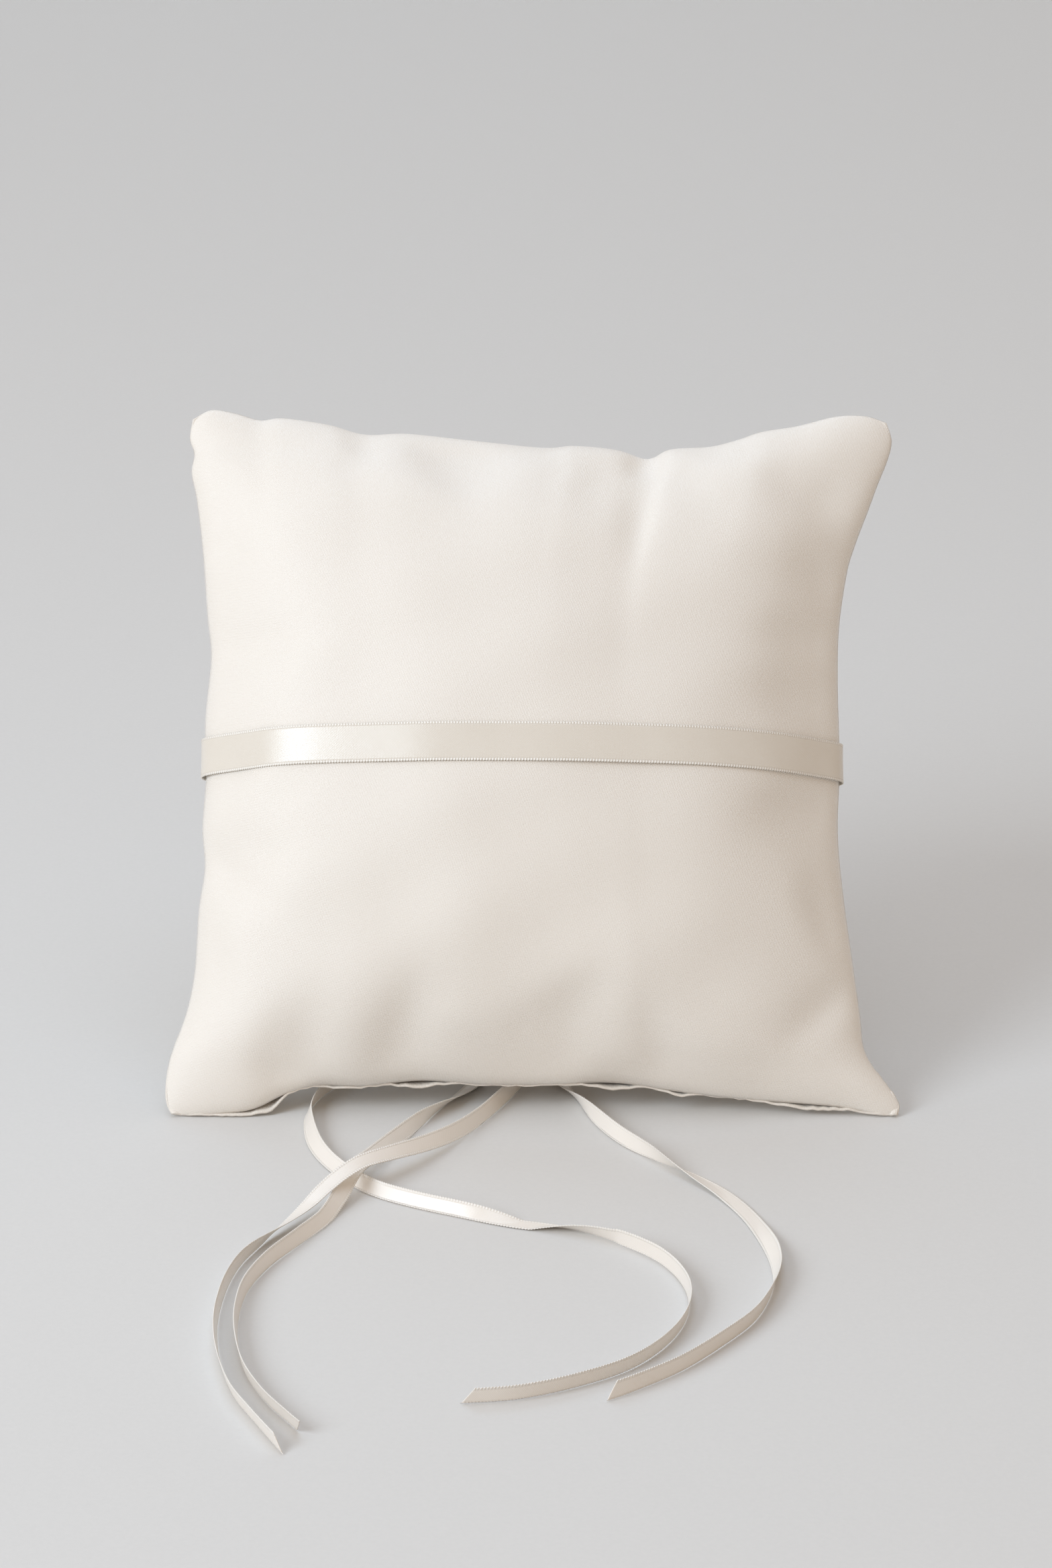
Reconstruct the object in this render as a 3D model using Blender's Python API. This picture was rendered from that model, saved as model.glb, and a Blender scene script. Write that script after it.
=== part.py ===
"""Ring bearer pillow: a small stuffed satin cushion that leans back on the edge of a stand.

The plain back faces -Y and the pleated front, with its bow and four ring ribbon tails, faces +Y.
The front leans on the stand at the origin. The two bottom corners and the tails rest on a level
surface STAND_HEIGHT below the origin. Metres, +Z up.
"""

import math

import bmesh
import bpy
from mathutils import Matrix, Vector

# Cushion, measured flat between its corner tips
BOTTOM_WIDTH = 0.200
TOP_WIDTH = 0.198
HEIGHT = 0.196
SIDE_DIP = 0.012        # how far each side edge pulls in between its corners
TOP_DIP = 0.007
EDGE_ABOVE_TAILS = 0.0031  # room between the tails on the surface and the bottom edge over them
BACK_BULGE = 0.031      # from the seam out to the crown of the plain back
FRONT_BULGE = 0.037     # from the seam out to the crown of the pleated front
FABRIC = 0.0008         # lined satin

# Pleated cover of the front
PLEATS = 14
PLEAT_HEIGHT = 0.0018
PLEAT_STEPS = 3         # rows of faces that one pleat takes

# Ribbons
BAND_WIDTH = 0.0106     # satin ribbon round the waist, also used for the bow
RIBBON = 0.0005         # ribbon thickness
TAIL_WIDTH = 0.0046     # narrow ribbon that ties the rings
TAIL_GAP = 0.0004       # between neighbouring tails where they leave the bow
BOW_LOOP_REACH = 0.033  # from the middle of the bow to the end of a loop
BOW_LOOP_DEPTH = 0.0075
BOW_TAIL_LENGTH = 0.040
BOW_TAIL_SPLAY = math.radians(28)
KNOT_WIDTH = 0.008
KNOT_FABRIC = 0.0008
FOLD_LENGTH = 0.011     # sewn stack of the ring ribbons' doubled middles

TAIL_PITCH = TAIL_WIDTH + TAIL_GAP

# Pose and fits
LEAN = math.radians(30.5)
STAND_HEIGHT = 0.0762
CLEARANCE = 0.0003      # between pieces that touch
LAYER_GAP = 0.0006      # between the domed layers of the cushion

# The bottom edge arches over the tails, and only the corner tips reach the surface
BOTTOM_DIP = (TAIL_WIDTH + EDGE_ABOVE_TAILS) / math.cos(LEAN)

BACK, FRONT = -1, 1

# Mesh resolution
COLUMNS = 14
TAIL_STEP = 0.0100      # between points along a tail
TAIL_SIDES = 2          # bevel resolution of a tail

# Each tail's way over the surface: X, Y behind the bottom corner tips, and how many tail widths it
# is lifted off the surface, where it passes over other tails
TAIL_ROUTES = [
    [(-0.0100, 0.0600, 0), (-0.0180, 0.0500, 0), (-0.0320, 0.0400, 0), (-0.0460, 0.0290, 0),
     (-0.0560, 0.0160, 0), (-0.0605, 0.0030, 0), (-0.0605, -0.0080, 0), (-0.0575, -0.0220, 0),
     (-0.0515, -0.0350, 0), (-0.0430, -0.0465, 0), (-0.0330, -0.0540, 0), (-0.0200, -0.0605, 0),
     (-0.0050, -0.0660, 0), (0.0100, -0.0705, 0), (0.0230, -0.0785, 0), (0.0330, -0.0890, 0),
     (0.0385, -0.1030, 0), (0.0385, -0.1170, 0), (0.0335, -0.1315, 0), (0.0240, -0.1445, 0),
     (0.0110, -0.1535, 0), (-0.0030, -0.1595, 0), (-0.0170, -0.1617, 0)],
    [(-0.0035, 0.0600, 0), (-0.0070, 0.0460, 0), (-0.0120, 0.0320, 0), (-0.0170, 0.0180, 0),
     (-0.0220, 0.0080, 0), (-0.0280, -0.0025, 0), (-0.0355, -0.0160, 0.17),
     (-0.0420, -0.0310, 0.78), (-0.0465, -0.0430, 1.26), (-0.0500, -0.0560, 0.57),
     (-0.0540, -0.0670, 0), (-0.0600, -0.0780, 0), (-0.0665, -0.0900, 0), (-0.0710, -0.1030, 0),
     (-0.0725, -0.1160, 0), (-0.0720, -0.1300, 0), (-0.0690, -0.1465, 0), (-0.0635, -0.1605, 0),
     (-0.0570, -0.1715, 0), (-0.0534, -0.1771, 0)],
    [(0.0030, 0.0600, 0), (0.0015, 0.0460, 0), (-0.0010, 0.0320, 0), (-0.0045, 0.0180, 0),
     (-0.0090, 0.0065, 0), (-0.0145, -0.0050, 0.07), (-0.0210, -0.0170, 0.48),
     (-0.0290, -0.0285, 1.22), (-0.0375, -0.0385, 2.02), (-0.0455, -0.0465, 2.43),
     (-0.0530, -0.0550, 1.87), (-0.0605, -0.0670, 0.83), (-0.0675, -0.0780, 0.13),
     (-0.0730, -0.0890, 0), (-0.0760, -0.1015, 0), (-0.0773, -0.1160, 0), (-0.0770, -0.1290, 0),
     (-0.0750, -0.1430, 0), (-0.0710, -0.1580, 0), (-0.0650, -0.1710, 0), (-0.0577, -0.1855, 0)],
    [(0.0095, 0.0600, 0), (0.0085, 0.0460, 0), (0.0080, 0.0320, 0), (0.0090, 0.0185, 0),
     (0.0130, 0.0065, 0), (0.0185, -0.0060, 0), (0.0255, -0.0185, 0), (0.0340, -0.0300, 0),
     (0.0430, -0.0395, 0), (0.0510, -0.0505, 0), (0.0570, -0.0640, 0), (0.0605, -0.0790, 0),
     (0.0616, -0.0930, 0), (0.0600, -0.1050, 0), (0.0550, -0.1195, 0), (0.0467, -0.1320, 0),
     (0.0360, -0.1450, 0), (0.0250, -0.1545, 0), (0.0173, -0.1601, 0)],
]

def mix(a, b, share):
    return a + (b - a) * share


def smooth_step(low, high, value):
    share = min(1, max(0, (value - low) / (high - low)))
    return share * share * (3 - 2 * share)


# The cushion's surface. across and up run from -1 to 1 between the side edges and from the bottom
# edge to the top one. In the pillow's own frame X is across, Y is out of the front and Z is up.


def half_width(up):
    return mix(BOTTOM_WIDTH, TOP_WIDTH, (up + 1) / 2) / 2 - SIDE_DIP * (1 - up**2)


def bottom_edge(across):
    return BOTTOM_DIP * (1 - across**6)


def top_edge(across):
    return HEIGHT - TOP_DIP * (1 - across**2)


def crown(across, up):
    return math.sqrt((1 - across**2) * (1 - up**2))


def underside_limit(across, z, inset):
    """How far out the front may reach at the height z, to stay flat above the tails under it."""
    room = (TAIL_WIDTH + 2 * CLEARANCE) * bottom_edge(across) / BOTTOM_DIP
    return max(0, (z * math.cos(LEAN) - room - inset) / math.sin(LEAN))


def surface(side, across, up, bulge, inset, relief=0):
    """A point of a domed side that is inset inside the cushion's outline."""
    low = bottom_edge(across) + inset
    high = top_edge(across) - inset
    x = across * (half_width(up) - inset)
    y = bulge * crown(across, up) + relief
    z = mix(low, high, (up + 1) / 2)
    if side == FRONT:
        y = min(y, underside_limit(across, z, inset))
    return Vector((x, side * y, z))


def level(across, z):
    """How far up, from -1 to 1, the height z is."""
    low = bottom_edge(across)
    return 2 * (z - low) / (top_edge(across) - low) - 1


MIDDLE = mix(bottom_edge(0), top_edge(0), 0.5)


def columns():
    return [math.sin(math.radians(180 * i / COLUMNS - 90)) for i in range(COLUMNS + 1)]


def pleat_rows():
    """Rows for the pleated cover, a little closer together near the top and bottom edges."""
    count = PLEATS * PLEAT_STEPS
    steps = [2 * i / count - 1 for i in range(count + 1)]
    return [mix(step, math.sin(step * math.pi / 2), 0.5) for step in steps]


def plain_rows():
    """Every pleat's edge, and one row close to each rim."""
    rows = pleat_rows()
    return [rows[0], rows[1], *rows[PLEAT_STEPS:-PLEAT_STEPS:PLEAT_STEPS], rows[-2], rows[-1]]


def pleat_relief(across, up, row):
    """Height of the pleats: each one rises row by row and drops to the next, flat under the band."""
    z = surface(FRONT, across, up, 0, 0).z
    below_band = smooth_step(0.9 * BAND_WIDTH, 2.2 * BAND_WIDTH, abs(z - MIDDLE))
    rise = (row % PLEAT_STEPS) / (PLEAT_STEPS - 1)
    return PLEAT_HEIGHT * rise * below_band * min(1, 3 * crown(across, up))


# Making objects


def remove_old_objects():
    for old in list(bpy.data.objects):
        bpy.data.objects.remove(old, do_unlink=True)


def make_material(name, color, roughness):
    material = bpy.data.materials.new(name)
    material.use_nodes = True
    shader = material.node_tree.nodes["Principled BSDF"]
    shader.inputs["Base Color"].default_value = (*color, 1)
    shader.inputs["Roughness"].default_value = roughness
    shader.inputs["Metallic"].default_value = 0
    return material


def make_empty(name, location, rotation=(0, 0, 0)):
    empty = bpy.data.objects.new(name, None)
    empty.location = location
    empty.rotation_euler = rotation
    bpy.context.scene.collection.objects.link(empty)
    return empty


def make_object(name, points, faces, parent, material, smooth=True):
    """A closed mesh object with its faces turned outwards."""
    shape = bmesh.new()
    corners = [shape.verts.new(point) for point in points]
    for face in faces:
        shape.faces.new([corners[i] for i in face])
    bmesh.ops.recalc_face_normals(shape, faces=shape.faces)
    if shape.calc_volume(signed=True) < 0:
        bmesh.ops.reverse_faces(shape, faces=shape.faces)
    mesh = bpy.data.meshes.new(name)
    shape.to_mesh(mesh)
    shape.free()
    if smooth:
        mesh.shade_smooth()
        mesh.set_sharp_from_angle(angle=math.radians(40))
    mesh.materials.append(material)
    piece = bpy.data.objects.new(name, mesh)
    piece.parent = parent
    bpy.context.scene.collection.objects.link(piece)
    return piece


def grid_faces(rows, across, start=0):
    """Triangles of a domed grid of rows by across points, each cell split along the dome's fall."""
    faces = []
    for r in range(rows - 1):
        for c in range(across - 1):
            near = start + r * across + c
            far = near + across
            if (r < (rows - 1) / 2) == (c < (across - 1) / 2):
                faces += [(near, near + 1, far + 1), (near, far + 1, far)]
            else:
                faces += [(near, near + 1, far), (near + 1, far + 1, far)]
    return faces


def rim_loop(rows, across, start=0):
    """Indices of a grid's border, once round."""
    bottom = [start + c for c in range(across)]
    right = [start + r * across + across - 1 for r in range(1, rows)]
    top = [start + (rows - 1) * across + c for c in reversed(range(across - 1))]
    left = [start + r * across for r in reversed(range(1, rows - 1))]
    return bottom + right + top + left


def bridge(loop_a, loop_b):
    """Quads between two loops of as many points."""
    count = len(loop_a)
    return [
        (loop_a[i], loop_a[(i + 1) % count], loop_b[(i + 1) % count], loop_b[i])
        for i in range(count)
    ]


# The cushion


def make_panel(name, side, bulge, inset, rows, parent, material, pleated=False):
    """A domed fabric shell that ends in a flat rim beside the seam."""
    outer, inner = [], []
    for r, up in enumerate(rows):
        for across in columns():
            relief = pleat_relief(across, up, r) if pleated else 0
            outside = surface(side, across, up, bulge, inset, relief)
            inside = surface(side, across, up, bulge - FABRIC, inset + FABRIC)
            for point, shell in ((outside, outer), (inside, inner)):
                point.y += side * CLEARANCE / 2
                shell.append(point)
    across = COLUMNS + 1
    faces = grid_faces(len(rows), across) + grid_faces(len(rows), across, len(outer))
    faces += bridge(rim_loop(len(rows), across), rim_loop(len(rows), across, len(outer)))
    return make_object(name, outer + inner, faces, parent, material)


def make_filling(back_bulge, front_bulge, inset, rows, parent, material):
    """The stuffing: two domed sides that meet in one edge."""
    across = COLUMNS + 1
    back = [surface(BACK, a, up, back_bulge, inset) for up in rows for a in columns()]
    rim = set(rim_loop(len(rows), across))
    front = [surface(FRONT, a, up, front_bulge, inset) for up in rows for a in columns()]
    points = list(back)
    index = {}
    for i, point in enumerate(front):
        index[i] = i
        if i not in rim:
            index[i] = len(points)
            points.append(point)
    faces = grid_faces(len(rows), across)
    faces += [tuple(index[i] for i in face) for face in grid_faces(len(rows), across)]
    return make_object("filling", points, faces, parent, material)


def make_cushion(parent, satin, stuffing):
    layer = FABRIC + LAYER_GAP
    inset = 2 * layer
    make_filling(BACK_BULGE - layer, FRONT_BULGE - inset, inset, plain_rows(), parent, stuffing)
    make_panel("back_panel", BACK, BACK_BULGE, 0, plain_rows(), parent, satin)
    make_panel("front_base_panel", FRONT, FRONT_BULGE - layer, layer, plain_rows(), parent, satin)
    make_panel("pleated_front", FRONT, FRONT_BULGE, 0, pleat_rows(), parent, satin, pleated=True)


# Ribbon round the waist


def band_point(turn, z, lift):
    """A point over the cushion at height z, turn radians round from its right edge by the front."""
    across = math.cos(turn)
    side, bulge = (FRONT, FRONT_BULGE) if math.sin(turn) > 0 else (BACK, BACK_BULGE)
    point = surface(side, across, level(across, z), bulge + lift, -lift)
    at_an_edge = abs(math.sin(turn)) < 1e-9
    point.y += 0 if at_an_edge else side * CLEARANCE / 2
    point.z = z
    return point


def make_waist_ribbon(parent, material):
    """A closed band that lies snug on the cushion all the way round."""
    segments = 4 * COLUMNS
    edges = (MIDDLE - BAND_WIDTH / 2, MIDDLE + BAND_WIDTH / 2)
    corners = [
        (edges[0], CLEARANCE),
        (edges[1], CLEARANCE),
        (edges[1], CLEARANCE + RIBBON),
        (edges[0], CLEARANCE + RIBBON),
    ]
    points = [
        band_point(2 * math.pi * i / segments, z, lift) for i in range(segments) for z, lift in corners
    ]
    rings = [[4 * i + k for k in range(4)] for i in range(segments)]
    faces = []
    for i in range(segments):
        faces += bridge(rings[i], rings[(i + 1) % segments])
    return make_object("waist_ribbon", points, faces, parent, material)


# Bow. Its layers are stacked outwards from the band, each one CLEARANCE off the last.

BAND_TOP = FRONT_BULGE + CLEARANCE / 2 + CLEARANCE + RIBBON
BOW_TAIL_Y = BAND_TOP + CLEARANCE + RIBBON / 2
FOLD_Y = BOW_TAIL_Y + RIBBON / 2 + CLEARANCE + TAIL_WIDTH / 2
KNOT_BACK_Y = FOLD_Y + TAIL_WIDTH / 2 + CLEARANCE
LOOP_UNDER_Y = KNOT_BACK_Y + KNOT_FABRIC + CLEARANCE + RIBBON / 2
LOOP_OVER_Y = LOOP_UNDER_Y + RIBBON + CLEARANCE
KNOT_FRONT_Y = LOOP_OVER_Y + RIBBON / 2 + CLEARANCE
FOLD_BOTTOM = MIDDLE - FOLD_LENGTH
FOLD_HALF_WIDTH = 2 * TAIL_PITCH


def sweep_strip(name, path, width, thickness, parent, material):
    """A strip whose middle follows path, a list of X and Y, with its width along Z."""
    points, rings = [], []
    for i, (x, y) in enumerate(path):
        ahead = path[min(i + 1, len(path) - 1)]
        behind = path[max(i - 1, 0)]
        along = Vector((ahead[0] - behind[0], ahead[1] - behind[1])).normalized()
        off_x, off_y = -along.y * thickness / 2, along.x * thickness / 2
        rings.append([len(points) + k for k in range(4)])
        for sign, z in ((1, -1), (1, 1), (-1, 1), (-1, -1)):
            points.append((x + sign * off_x, y + sign * off_y, MIDDLE + z * width / 2))
    faces = [tuple(rings[0]), tuple(reversed(rings[-1]))]
    for ring, following in zip(rings, rings[1:]):
        faces += bridge(ring, following)
    return make_object(name, points, faces, parent, material)


def make_bow_loop(name, side, parent, material):
    """Out along the underside, round the end and back over the top, flat inside the knot."""
    flat = KNOT_WIDTH / 2 + CLEARANCE
    past_fold = FOLD_HALF_WIDTH + RIBBON
    radius = BOW_LOOP_DEPTH / 2
    middle_y = (LOOP_UNDER_Y + LOOP_OVER_Y) / 2
    end = BOW_LOOP_REACH - radius
    path = [(CLEARANCE / 2, LOOP_UNDER_Y), (flat, LOOP_UNDER_Y), (past_fold, LOOP_UNDER_Y)]
    path += [(mix(past_fold, end, 0.5), middle_y - 0.75 * radius)]
    for degrees in range(-90, 91, 30):
        angle = math.radians(degrees)
        path.append((end + radius * math.cos(angle), middle_y + radius * math.sin(angle)))
    path += [(mix(flat, end, 0.45), middle_y + 0.75 * radius)]
    path += [(flat, LOOP_OVER_Y), (CLEARANCE / 2, LOOP_OVER_Y)]
    return sweep_strip(name, [(side * x, y) for x, y in path], BAND_WIDTH, RIBBON, parent, material)


def extrude_outline(name, outline, middle_y, thickness, parent, material):
    """A flat piece from an outline in X and Z."""
    count = len(outline)
    points = [(x, middle_y - thickness / 2, z) for x, z in outline]
    points += [(x, middle_y + thickness / 2, z) for x, z in outline]
    near, far = list(range(count)), list(range(count, 2 * count))
    faces = [tuple(near), tuple(reversed(far)), *bridge(near, far)]
    return make_object(name, points, faces, parent, material, smooth=False)


def make_bow_tail(name, side, parent, material):
    """A short tail from the knot down to a slanting cut."""
    half = BAND_WIDTH / 2
    outline = []
    for x, down in ((half, 0), (half, BOW_TAIL_LENGTH), (-half, BOW_TAIL_LENGTH - half), (-half, 0)):
        along = down * math.cos(BOW_TAIL_SPLAY) - x * math.sin(BOW_TAIL_SPLAY)
        sideways = down * math.sin(BOW_TAIL_SPLAY) + x * math.cos(BOW_TAIL_SPLAY)
        start = half * math.cos(BOW_TAIL_SPLAY) + CLEARANCE / 2
        outline.append((side * (start + sideways), MIDDLE - along))
    return extrude_outline(name, outline, BOW_TAIL_Y, RIBBON, parent, material)


def make_knot(parent, material):
    """A short strip wrapped round the middle of the loops."""
    inner_z = BAND_WIDTH / 2 + CLEARANCE
    outer_z = inner_z + KNOT_FABRIC
    inner = [(KNOT_BACK_Y + KNOT_FABRIC, -inner_z), (KNOT_FRONT_Y, -inner_z)]
    inner += [(KNOT_FRONT_Y, inner_z), (KNOT_BACK_Y + KNOT_FABRIC, inner_z)]
    outer = [(KNOT_BACK_Y, -outer_z), (KNOT_FRONT_Y + KNOT_FABRIC, -outer_z)]
    outer += [(KNOT_FRONT_Y + KNOT_FABRIC, outer_z), (KNOT_BACK_Y, outer_z)]
    points = []
    for x in (-KNOT_WIDTH / 2, KNOT_WIDTH / 2):
        points += [(x, y, MIDDLE + z) for y, z in inner + outer]
    loops = [[4 * k + i for i in range(4)] for k in range(4)]
    faces = bridge(loops[0], loops[1]) + bridge(loops[2], loops[3])
    faces += bridge(loops[0], loops[2]) + bridge(loops[1], loops[3])
    return make_object("bow_knot", points, faces, parent, material, smooth=False)


def make_bow(parent, material):
    for side, word in ((-1, "left"), (1, "right")):
        make_bow_loop(f"bow_loop_{word}", side, parent, material)
        make_bow_tail(f"bow_tail_{word}", side, parent, material)
    make_knot(parent, material)


def make_ring_ribbon_fold(parent, material):
    """The doubled middles of the two ring ribbons, stacked and sewn down under the knot."""
    half = FOLD_HALF_WIDTH
    outline = [(-half, FOLD_BOTTOM), (half, FOLD_BOTTOM), (half, MIDDLE), (-half, MIDDLE)]
    fold = extrude_outline("ring_ribbon_fold", outline, FOLD_Y, TAIL_WIDTH, parent, material)
    bevel = fold.modifiers.new("soft edges", "BEVEL")
    bevel.width = TAIL_WIDTH / 6
    bevel.segments = 2
    return fold


# Ring ribbon tails


def catmull_rom(points, samples):
    """Points of a smooth curve through the given ones."""
    padded = [2 * points[0] - points[1], *points, 2 * points[-1] - points[-2]]
    curve = []
    for a, b, c, d in zip(padded, padded[1:], padded[2:], padded[3:]):
        for i in range(samples):
            t = i / samples
            curve.append(
                0.5 * (2 * b + (c - a) * t + (2 * a - 5 * b + 4 * c - d) * t**2
                       + (3 * b - a - 3 * c + d) * t**3)
            )
    return curve + [points[-1]]


def evenly_spaced(curve, step):
    """Points at equal distances along a curve."""
    lengths = [0]
    for a, b in zip(curve, curve[1:]):
        lengths.append(lengths[-1] + (b - a).length)
    count = round(lengths[-1] / step)
    result, i = [], 0
    for k in range(count + 1):
        wanted = lengths[-1] * k / count
        while i < len(curve) - 2 and lengths[i + 1] < wanted:
            i += 1
        result.append(curve[i].lerp(curve[i + 1], (wanted - lengths[i]) / (lengths[i + 1] - lengths[i])))
    return result


def hang(start):
    """A tail's way from just under the fold: it hangs, then turns onto the surface."""
    lowest = TAIL_WIDTH / 2
    drop = start.z - lowest
    behind = start.y - 0.2 * TAIL_WIDTH
    points = [start]
    points += [Vector((start.x, behind, lowest + share * drop)) for share in (0.76, 0.52, 0.30)]
    points += [Vector((start.x, behind - 0.0025, lowest + 0.12 * drop))]
    return points


def make_tail(number, route, exit_point, out, parent, material):
    """A tube as thick as the ribbon is wide: straight out of the fold, down and along its route."""
    floor = [Vector((x, y, (lift + 0.5) * TAIL_WIDTH)) for x, y, lift in route]
    smooth = catmull_rom(hang(exit_point + out * TAIL_WIDTH) + floor, 12)
    for point in smooth:
        point.z = max(point.z, TAIL_WIDTH / 2)
    points = [exit_point, *evenly_spaced(smooth, TAIL_STEP)]
    name = f"ring_tail_{number}"
    curve = bpy.data.curves.new(name, "CURVE")
    curve.dimensions = "3D"
    curve.bevel_depth = TAIL_WIDTH / 2
    curve.bevel_resolution = TAIL_SIDES
    curve.use_fill_caps = True
    spline = curve.splines.new("POLY")
    spline.points.add(len(points) - 1)
    for spot, point in zip(spline.points, points):
        spot.co = (*point, 1)
    curve.materials.append(material)
    tail = bpy.data.objects.new(name, curve)
    tail.parent = parent
    bpy.context.scene.collection.objects.link(tail)
    return tail


def stand_contact():
    """Y and Z, from the bottom corner tips, of the crown of the front at the stand's height."""
    turn = Matrix.Rotation(-LEAN, 4, "X")
    low, high = 0.0, HEIGHT
    for _ in range(50):
        z = (low + high) / 2
        point = turn @ Vector((0, FRONT_BULGE * crown(0, level(0, z)), z))
        if point.z < STAND_HEIGHT:
            low = z
        else:
            high = z
    return point


def main():
    remove_old_objects()
    satin = make_material("ivory_satin", (0.86, 0.83, 0.77), 0.45)
    ribbon = make_material("ivory_ribbon", (0.84, 0.79, 0.72), 0.35)
    stuffing = make_material("polyester_filling", (0.90, 0.90, 0.89), 0.9)

    contact = stand_contact()
    tips = make_empty("bottom_corner_tips", (0, -contact.y, -STAND_HEIGHT))
    lean = make_empty("lean_frame", (0, 0, 0), (-LEAN, 0, 0))
    lean.parent = tips

    make_cushion(lean, satin, stuffing)
    make_waist_ribbon(lean, ribbon)
    make_bow(lean, ribbon)
    make_ring_ribbon_fold(lean, ribbon)

    turn = Matrix.Rotation(-LEAN, 4, "X")
    for i, route in enumerate(TAIL_ROUTES):
        x = (i - 1.5) * TAIL_PITCH
        exit_point = turn @ Vector((x, FOLD_Y, FOLD_BOTTOM - CLEARANCE))
        make_tail(i + 1, route, exit_point, turn @ Vector((0, 0, -1)), tips, ribbon)


main()
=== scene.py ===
# %% [markdown]
# # A ring bearer pillow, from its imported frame
# A ring bearer pillow is a small square satin cushion. Two narrow ribbons that are sewn
# under a bow hold the rings. It leans back here, so we see its plain back, and the free
# ribbon ends run out below it onto the table. The frame gives every place and size.

# %% Load the frame
import math

import bmesh
import bpy
import numpy as np
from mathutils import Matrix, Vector


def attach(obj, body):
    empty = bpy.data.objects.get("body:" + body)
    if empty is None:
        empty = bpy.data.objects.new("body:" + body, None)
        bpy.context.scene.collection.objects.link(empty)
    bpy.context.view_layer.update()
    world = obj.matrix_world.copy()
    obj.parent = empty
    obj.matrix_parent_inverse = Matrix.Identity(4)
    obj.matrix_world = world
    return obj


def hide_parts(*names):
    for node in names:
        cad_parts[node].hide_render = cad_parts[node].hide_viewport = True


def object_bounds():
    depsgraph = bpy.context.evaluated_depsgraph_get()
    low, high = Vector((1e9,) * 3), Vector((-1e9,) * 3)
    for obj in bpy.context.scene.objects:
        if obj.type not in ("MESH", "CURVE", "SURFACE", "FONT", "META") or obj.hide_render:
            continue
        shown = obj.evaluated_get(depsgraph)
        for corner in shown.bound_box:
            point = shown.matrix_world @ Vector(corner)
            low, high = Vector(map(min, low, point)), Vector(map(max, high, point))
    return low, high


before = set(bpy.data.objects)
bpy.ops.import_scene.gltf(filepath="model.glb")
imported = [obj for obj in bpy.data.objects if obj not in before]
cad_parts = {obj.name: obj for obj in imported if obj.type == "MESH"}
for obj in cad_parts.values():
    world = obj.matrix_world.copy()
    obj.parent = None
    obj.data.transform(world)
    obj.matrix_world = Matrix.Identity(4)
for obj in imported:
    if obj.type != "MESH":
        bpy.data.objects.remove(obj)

cad_low, cad_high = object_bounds()
floor_z = cad_low.z
tip = min((v.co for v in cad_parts["back_panel"].data.vertices), key=lambda co: co.z)
tip_y = tip.y
print("frame box", [round(x, 4) for x in cad_low], [round(x, 4) for x in cad_high])

# %% [markdown]
# ## The pillow's own directions
# The pillow leans back, so its height and its thickness don't follow Z and Y. Each soft
# piece is easier to shape as across, out and up on the pillow, and one function turns
# those three into a place in the room.

# %% Across, out and up
LEAN = math.radians(30.5)
UP = np.array([0.0, math.sin(LEAN), math.cos(LEAN)])
OUT = np.array([0.0, math.cos(LEAN), -math.sin(LEAN)])
ACROSS = np.array([1.0, 0.0, 0.0])
CORNER_LINE = np.array([0.0, tip_y, floor_z])


def place(across, out, up):
    """Points in the room from distances on the pillow; out is towards its hidden front."""
    across, out, up = np.broadcast_arrays(across, out, up)
    return CORNER_LINE + across[..., None] * ACROSS + out[..., None] * OUT + up[..., None] * UP


def smooth_step(low, high, value):
    share = np.clip((value - low) / (high - low), 0.0, 1.0)
    return share * share * (3 - 2 * share)


print("corner line", CORNER_LINE.round(4))

# %% [markdown]
# ## Camera
# A long lens looks down at the pillow by twenty degrees. It is placed from the line that
# the bottom corners stand on.

# %% Camera
bpy.ops.object.select_all(action="DESELECT")
eye = (-0.0015, tip_y - 1.0023, floor_z + 0.4617)
bpy.ops.object.camera_add(location=eye, rotation=(math.radians(70), 0, 0))
camera = bpy.context.object
camera.data.sensor_width = 36
camera.data.lens = 92.4
camera.data.clip_start = 0.05
bpy.context.scene.camera = camera
bpy.context.scene.view_settings.view_transform = "Standard"
print("camera at", [round(x, 4) for x in eye])

# %% [markdown]
# ## A grid that is laid like cloth
# Cloth and ribbon start flat, so each piece starts as a flat grid. Its points are then
# laid where the cloth goes, and a Solidify modifier gives it its thickness. The flat
# grid's own measures are kept as a UV map in metres, and weaves follow that map.


# %% Grid, lay and thicken
ABOVE_TABLE = 0.0004


def new_grid(name, wide, long):
    """A flat grid from -1 to 1 both ways, and where its points are on it."""
    bpy.ops.object.select_all(action="DESELECT")
    bpy.ops.mesh.primitive_grid_add(x_subdivisions=wide, y_subdivisions=long, size=2)
    piece = bpy.context.object
    piece.name = name
    piece.data.name = name
    flat = np.empty(len(piece.data.vertices) * 3)
    piece.data.vertices.foreach_get("co", flat)
    flat = flat.reshape(-1, 3)
    return piece, flat[:, 0], flat[:, 1]


def lay(piece, points, flat_across, flat_along):
    """Moves the grid's points, and keeps the flat cloth's measures as UVs."""
    points = np.array(points, dtype=float)
    points[:, 2] = np.maximum(points[:, 2], floor_z + ABOVE_TABLE)
    piece.data.vertices.foreach_set("co", np.ascontiguousarray(points, dtype=float).ravel())
    corner = np.empty(len(piece.data.loops), dtype=int)
    piece.data.loops.foreach_get("vertex_index", corner)
    uv = np.stack([flat_across[corner], flat_along[corner]], axis=1)
    piece.data.uv_layers[0].data.foreach_set("uv", uv.ravel())
    piece.data.update()


def select_only(piece):
    bpy.ops.object.select_all(action="DESELECT")
    piece.select_set(True)
    bpy.context.view_layer.objects.active = piece


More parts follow.
